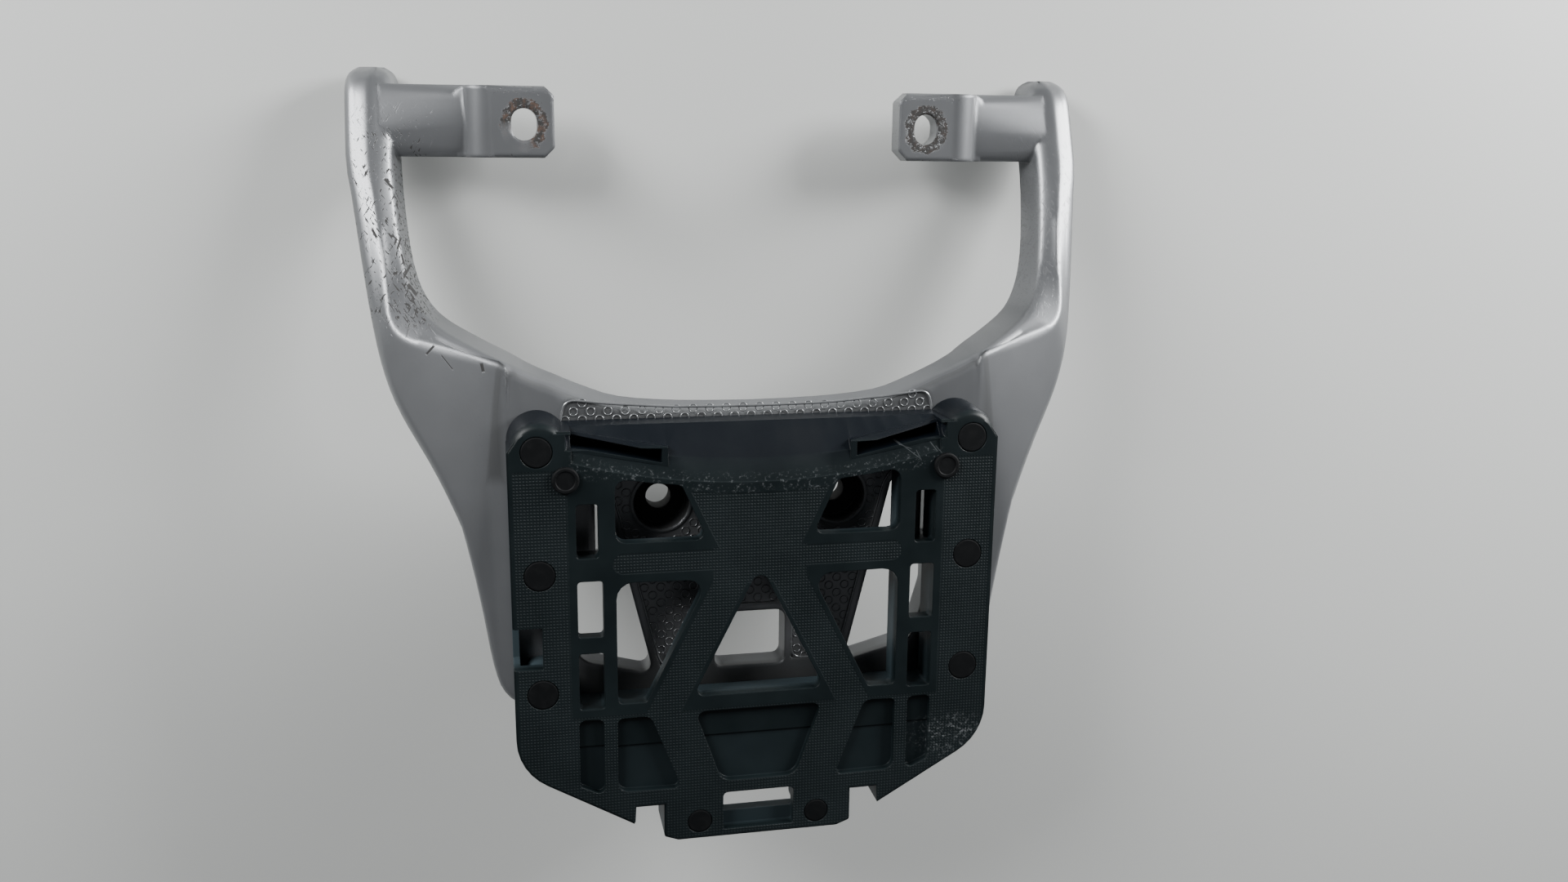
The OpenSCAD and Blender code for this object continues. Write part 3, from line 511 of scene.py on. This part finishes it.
def section(row, fair=0.0):  # one closed section; fair 1 gives its outer edge the dressed grip's form
    inner, outer, crest = Vector(row[0:2]), Vector(row[2:4]), Vector(row[4:6])
    zc, zi, zib, zs, ze, zob = row[6:12]
    u = (crest - inner).normalized()
    v = (outer - crest).normalized()
    wide = (crest - inner).length
    reach = (outer - crest).length
    topR = min(grips["topRadius"], 0.45 * wide)
    drop = min(topR, 0.4 * (zi - zib))
    zs += (zc - grips["shoulderDrop"] - zs) * fair
    ze += (max(ze, zc - grips["edgeDrop"]) - ze) * fair
    edge = min(grips["castRadius"] + (grips["edgeRadius"] - grips["castRadius"]) * fair, 0.7 * reach)
    crestW = grips["crestHalf"] - grips["crestThin"] * fair
    root = grips["rootRadius"]
    lean = grips["innerLean"]
    rootTurn = [math.radians(45 * k) for k in range(3)]
    topTurn = [math.radians(30 * k) for k in range(4)]
    points = []
    for a in rootTurn:
        points.append((*(inner + u * root * (1 - math.sin(a))), zib + root * (1 - math.cos(a))))
    for a in topTurn:
        points.append((*(inner + u * (lean + topR * (1 - math.cos(a)))), zi - drop * (1 - math.sin(a))))
    points.append((*(crest - u * crestW), zc - 0.25 * (zc - zi) * crestW / max(wide - lean - topR, crestW)))
    points.append((*crest, zc - (0.3 if zc < grips["deck"] - 0.01 else 0)))
    points.append((*(crest + v * crestW), zc + (zs - zc) * crestW / max(reach - edge, crestW)))
    for a in topTurn:
        points.append((*(outer - v * edge * (1 - math.sin(a))), ze + (zs - ze) * math.cos(a)))
    for a in rootTurn:
        outwards = grips["outerLean"] + root * (1 - math.cos(a))
        points.append((*(outer - v * outwards), zob + root * (1 - math.sin(a))))
    return [Vector(point) for point in points]


def fairGrips(made):  # the crest keeps its distance from the outer edge, and the elbows are evened out
    rows = gripRows()
    fairRows = []
    for k, row in enumerate(rows):
        outer = Vector(row[2:4])
        crest = Vector(row[4:6])
        if k >= len(grips["wing"]):
            crest = outer + (crest - outer).normalized() * min(grips["crestIn"], 0.6 * (row[2] - row[0]))
        crest = grips["crest"].get(k, crest)
        fairRows.append((*row[:4], *crest, *row[6:]))
    old = [section(row) for row in blendRows(rows, grips["steps"])]
    start = grips["fairRow"] * grips["steps"]
    blended = blendRows(fairRows, grips["steps"])
    new = []
    for k, row in enumerate(blended):  # the new form sets in over six sections
        new.append(section(row, min(1.0, max(0.0, (k - start + 3) / 6))))
    held = [k < 3 or ring[0].y > grips["fairFrontY"] for k, ring in enumerate(old)]
    for done in range(grips["fairPasses"]):
        new = [new[k] if held[k] else [(a + b * 2 + c) / 4 for a, b, c in zip(new[k - 1], new[k], new[k + 1])]
               for k in range(len(new))]
    oldFlat = [point for ring in old[1:] for point in ring]
    newFlat = [point for ring in new[1:] for point in ring]
    tree = mathutils.kdtree.KDTree(len(oldFlat))
    for k, point in enumerate(oldFlat):
        tree.insert(point, k)
    tree.balance()
    flat = made.vertex_groups.new(name="flatParts")
    ridgeIn, ridgeOut = grips["ridgeX"]
    barRear, barFront = grips["barY"]
    count = 0
    for vertex in made.data.vertices:
        spot = vertex.co / mm
        ax = abs(spot.x)
        near, k, far = tree.find(Vector((ax, spot.y, spot.z)))
        if far < grips["match"]:
            side = 1 if spot.x > 0 else -1
            vertex.co = Vector((newFlat[k].x * side, newFlat[k].y, newFlat[k].z)) * mm
            count += 1
        if far > grips["match"] or k < grips["roundFrom"] * len(old[0]):
            flat.add([vertex.index], 1.0, "REPLACE")
        if ridgeIn < ax < ridgeOut and abs(spot.y - grips["ridgeEnd"]) < 0.06:
            vertex.co.y += grips["ridgeLack"] * mm
        if abs(ax - grips["barEnd"]) < 0.15 and barRear < spot.y < barFront:
            # the bar's end dips into the grip
            vertex.co.z = min(spot.z, gripHeight(spot.y) - grips["barSink"]) * mm
    print("grip points moved:", count, "of", 2 * len(oldFlat))


casting = smoothCopy("cast_rack", "castingBody", 34)
fairGrips(casting)
dress(casting, silver)
weighNormals(casting, "flatParts")
settle(casting, "castingBody")
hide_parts("cast_rack")

# The plate's hook slots and front slots, brought to the widths of the real ones. A hook slot runs between
# two sloping lines, each with its y at the inner end and its slope; old holds the corners before the change.
hook = dict(
    ends=(43.5, 91.0), near=(24.0, 0.194), far=(33.2, 0.166), post=3.0, rim=1.3,
    old=[(46.0, 26.25), (88.5, 34.7), (88.5, 39.6), (46.0, 30.95)],
    ledge=5.0, ledgeTuck=0.8, ledgeBack=0.7, ledgeLow=25.6, ledgeTop=33.0,
    slotIn=(74.4, 76.35), slotY=(-18.4, 7.9), slotMove=1.7,
)


def hookLine(which, x, inward=0.0):
    start, slope = hook[which]
    return start + slope * (x - hook["ends"][0]) + (inward if which == "near" else -inward)


def trimPlate(made):
    x0 = hook["ends"][0] + hook["post"]
    x1 = hook["ends"][1] - hook["post"]
    rim = hook["rim"]
    wanted = [(x0, hookLine("near", x0, rim)), (x1, hookLine("near", x1, rim)),
              (x1, hookLine("far", x1, rim)), (x0, hookLine("far", x0, rim))]
    slotIn, slotOut = hook["slotIn"]
    slotRear, slotFront = hook["slotY"]
    count = 0
    for vertex in made.data.vertices:
        spot = vertex.co / mm
        side = 1 if spot.x > 0 else -1
        for old, new in zip(hook["old"], wanted):
            if math.hypot(abs(spot.x) - old[0], spot.y - old[1]) < 0.25:
                vertex.co.x = new[0] * side * mm
                vertex.co.y = new[1] * mm
                count += 1
        if slotIn < abs(spot.x) < slotOut and slotRear < spot.y < slotFront:
            vertex.co.x += hook["slotMove"] * side * mm
            count += 1
    print("plate corners moved:", count)


plate = smoothCopy("case_plate", "casePlateBody", 28)
trimPlate(plate)
dress(plate, black)
weighNormals(plate)
settle(plate, "casePlateBody")
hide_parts("case_plate")
print("casting and plate dressed")


# Raised rings and the bead round the textured field, made with Geometry Nodes
field = dict(
    floor=24.2, pitch=8.1, row=4.05, frontY=50.0, length=150.0, halfColumns=13,
    ringD=4.6, ringThick=0.64, ringLift=0.2, bead=1.2, beadLift=0.45, cornerRadius=6.0,
    boltClear=16.4, windowX=21.4, windowFrontY=-54.3,
    half=[  # right half of the outline, from the centre window round to the front
        (21.4, -84.5), (44.8, -84.5), (67.8, 8.0), (93.0, 32.0),
        (89.5, 52.0), (68, 49.3), (36, 46.9), (0.5, 46.5),
    ],
)


def socketId(tree, name):
    for item in tree.interface.items_tree:
        if item.item_type == "SOCKET" and item.in_out == "INPUT" and item.name == name:
            return item.identifier


def newTree(name, sizes):
    tree = bpy.data.node_groups.new(name, "GeometryNodeTree")
    tree.interface.new_socket("Geometry", in_out="INPUT", socket_type="NodeSocketGeometry")
    for key in sizes:
        tree.interface.new_socket(key, in_out="INPUT", socket_type="NodeSocketFloat")
    tree.interface.new_socket("Material", in_out="INPUT", socket_type="NodeSocketMaterial")
    tree.interface.new_socket("Geometry", in_out="OUTPUT", socket_type="NodeSocketGeometry")
    return tree, tree.nodes.new("NodeGroupInput"), tree.nodes.new("NodeGroupOutput")


def treeNode(tree, kind, inputs=None, **settings):
    made = tree.nodes.new(kind)
    for key, value in settings.items():
        setattr(made, key, value)
    for key, value in (inputs or {}).items():
        if isinstance(value, bpy.types.NodeSocket):
            tree.links.new(value, made.inputs[key])
        else:
            made.inputs[key].default_value = value
    return made


def runTree(made, tree, values):
    modifier = made.modifiers.new("build", "NODES")
    modifier.node_group = tree
    for key, value in values.items():
        modifier[socketId(tree, key)] = value


def circle(tree, radius, sides):
    return treeNode(tree, "GeometryNodeCurvePrimitiveCircle",
                    {"Resolution": sides, "Radius": radius}, mode="RADIUS")


def sweep(tree, path, profile):  # a smooth tube along the path
    tube = treeNode(tree, "GeometryNodeCurveToMesh",
                    {"Curve": path.outputs[0], "Profile Curve": profile.outputs[0]})
    return treeNode(tree, "GeometryNodeSetShadeSmooth", {0: tube.outputs[0]})


def closeTree(tree, start, end, shape):
    real = treeNode(tree, "GeometryNodeRealizeInstances", {0: shape.outputs[0]})
    finish = treeNode(tree, "GeometryNodeSetMaterial",
                      {"Geometry": real.outputs[0], "Material": start.outputs["Material"]})
    tree.links.new(finish.outputs[0], end.inputs[0])
    return tree


def ringTree():
    tree, start, end = newTree("raisedRings", ("Ring radius", "Wire radius"))
    loop = circle(tree, start.outputs["Ring radius"], 20)
    wire = circle(tree, start.outputs["Wire radius"], 6)
    ring = sweep(tree, loop, wire)
    spread = treeNode(tree, "GeometryNodeInstanceOnPoints",
                      {"Points": start.outputs["Geometry"], "Instance": ring.outputs[0]})
    return closeTree(tree, start, end, spread)


def beadTree():
    tree, start, end = newTree("fieldBead", ("Wire radius",))
    path = treeNode(tree, "GeometryNodeMeshToCurve", {0: start.outputs["Geometry"]})
    wire = circle(tree, start.outputs["Wire radius"], 8)
    return closeTree(tree, start, end, sweep(tree, path, wire))


def inside(point, loop):
    hit = False
    for (ax, ay), (bx, by) in zip(loop, loop[1:] + loop[:1]):
        if (ay > point[1]) != (by > point[1]) and point[0] < ax + (point[1] - ay) * (bx - ax) / (by - ay):
            hit = not hit
    return hit


def roundedLoop(points, radius, steps):
    out = []
    for k, corner in enumerate(points):
        before = Vector(points[k - 1])
        here = Vector(corner)
        after = Vector(points[(k + 1) % len(points)])
        u = before - here
        v = after - here
        reach = min(radius, u.length * 0.45, v.length * 0.45)
        a = here + u.normalized() * reach
        b = here + v.normalized() * reach
        for s in range(steps + 1):
            t = s / steps
            out.append(tuple(a * (1 - t) ** 2 + here * 2 * t * (1 - t) + b * t * t))
    return out


fieldLoop = field["half"] + [(-x, y) for x, y in reversed(field["half"])]
fieldLoop += [(side * field["windowX"], field["windowFrontY"]) for side in (-1, 1)]
fieldLoop = roundedLoop(fieldLoop, field["cornerRadius"], 5)

ringSpots = []
for r in range(int(field["length"] / field["row"])):
    y = field["frontY"] - r * field["row"]
    shift = field["pitch"] / 2 if r % 2 else 0.0
    for c in range(-field["halfColumns"], field["halfColumns"] + 1):
        x = c * field["pitch"] + shift
        atBolt = math.hypot(abs(x) - boltX, y) < field["boltClear"]
        if inside((x, y), fieldLoop) and not atBolt:
            ringSpots.append((x, y, field["floor"] + field["ringLift"]))
rings = meshObject("fieldRings", ringSpots)
runTree(rings, ringTree(), {"Ring radius": (field["ringD"] - field["ringThick"]) / 2 * mm,
                            "Wire radius": field["ringThick"] / 2 * mm, "Material": relief})
settle(rings, "fieldRings")
beadCount = len(fieldLoop)
bead = meshObject("fieldBead", [(x, y, field["floor"] + field["beadLift"]) for x, y in fieldLoop],
                  [(k, (k + 1) % beadCount) for k in range(beadCount)])
runTree(bead, beadTree(), {"Wire radius": field["bead"] / 2 * mm, "Material": relief})
settle(bead, "fieldBead")
print("field rings:", len(ringSpots))


def prismPair(name, loop, low, high, material):  # an upright prism and its mirror image, as one piece
    verts = []
    faces = []
    for side in (1, -1):
        base = len(verts)
        count = len(loop)
        turned = loop if side > 0 else loop[::-1]
        for z in (low, high):
            verts += [(x * side, y, z) for x, y in turned]
        faces.append([base + k for k in range(count)][::-1])
        faces.append([base + count + k for k in range(count)])
        for k in range(count):
            after = (k + 1) % count
            faces.append((base + k, base + after, base + count + after, base + count + k))
    made = meshObject(name, verts, faces=faces)
    dress(made, material)
    settle(made, name)


# Cross arms and ribs in the casting's side windows, and the ledges inside the hook slots
arms = dict(
    cornerRadius=2.5, low=10.0, high=24.96,
    outline=[
        (58.5, -37.0), (93.0, -37.0), (93.0, -23.5), (87.3, -23.5),
        (87.3, 9.5), (76.0, 9.5), (76.0, -26.5), (61.0, -26.5),
    ],
)
prismPair("castingArms", roundedLoop(arms["outline"], arms["cornerRadius"], 3), arms["low"], arms["high"],
          silver)

ledgeIn = hook["ends"][0] + hook["post"] - hook["ledgeTuck"]
ledgeOut = hook["ends"][1] - hook["post"] + hook["ledgeTuck"]
ledgeLoop = [(x, hookLine("far", x, hook["ledge"])) for x in (ledgeIn, ledgeOut)]
ledgeLoop += [(x, hookLine("far", x, hook["ledgeBack"])) for x in (ledgeOut, ledgeIn)]
prismPair("hookLedges", ledgeLoop, hook["ledgeLow"], hook["ledgeTop"], black)
print("arms and ledges made")

# Remaining CAD nodes keep their shape and get a finish
for name, node in partNodes.items():
    if name.startswith(("pad_", "buffer_")):
        dress(node, padRubber)
    elif name.startswith(("screw_", "washer_", "nut_")):
        dress(node, zinc)
print("small parts dressed")


# Floor, light and camera
studio = dict(
    floorZ=-73.0, floorSize=6000.0, floorColour=(0.44, 0.45, 0.44), floorCloud=1.05,
    air=(0.93, 0.95, 1.0), airPower=0.15, sensor=36.0, lens=30.904,
    eye=(-119.07, 173.66, 650.81), right=(0.9779, 0.0120, 0.2087), down=(-0.0347, -0.9752, 0.2188),
    ahead=(0.2061, -0.2212, -0.9532),
    lampTarget=(0, 50, 0),
    lamps=[  # name, place, width and height in mm, watts
        ("lampLeft", (-950, 780, 580), 420, 900, 34.0), ("lampRight", (1150, 660, 360), 420, 1000, 56.0),
    ],
)


def paleFloor():
    look = Look("paleFloor", Roughness=0.55)
    spot = look.place()
    cloud = look.noise(spot, 0.004, 2.0)
    pale = tuple(c * studio["floorCloud"] for c in studio["floorColour"])
    return look.give(Base_Color=look.blend(cloud, studio["floorColour"], pale))


half = studio["floorSize"] / 2
floorCorners = [(-half, -half), (half, -half), (half, half), (-half, half)]
floor = meshObject("floor", [(x, y, studio["floorZ"]) for x, y in floorCorners], faces=[(0, 1, 2, 3)])
dress(floor, paleFloor())

world = bpy.data.worlds.new("studioAir")
bpy.context.scene.world = world
world.use_nodes = True
air = world.node_tree.nodes["Background"]
air.inputs["Color"].default_value = (*studio["air"], 1.0)
air.inputs["Strength"].default_value = studio["airPower"]


def softLamp(name, place, width, height, power):
    lamp = bpy.data.lights.new(name, "AREA")
    lamp.shape = "RECTANGLE"
    lamp.size = width * mm
    lamp.size_y = height * mm
    lamp.energy = power
    made = addObject(name, lamp)
    made.location = Vector(place) * mm
    aim = Vector(studio["lampTarget"]) - Vector(place)
    made.rotation_euler = aim.to_track_quat("-Z", "Y").to_euler()


for lampSizes in studio["lamps"]:
    softLamp(*lampSizes)

eye = bpy.data.cameras.new("camera")
eye.lens = studio["lens"]
eye.sensor_width = studio["sensor"]
camera = addObject("camera", eye)
columns = [Vector(studio["right"]), -Vector(studio["down"]), -Vector(studio["ahead"])]
turn = Matrix(columns).transposed().to_4x4()
camera.matrix_world = Matrix.Translation(Vector(studio["eye"]) * mm) @ turn
bpy.context.scene.camera = camera
print("studio set")
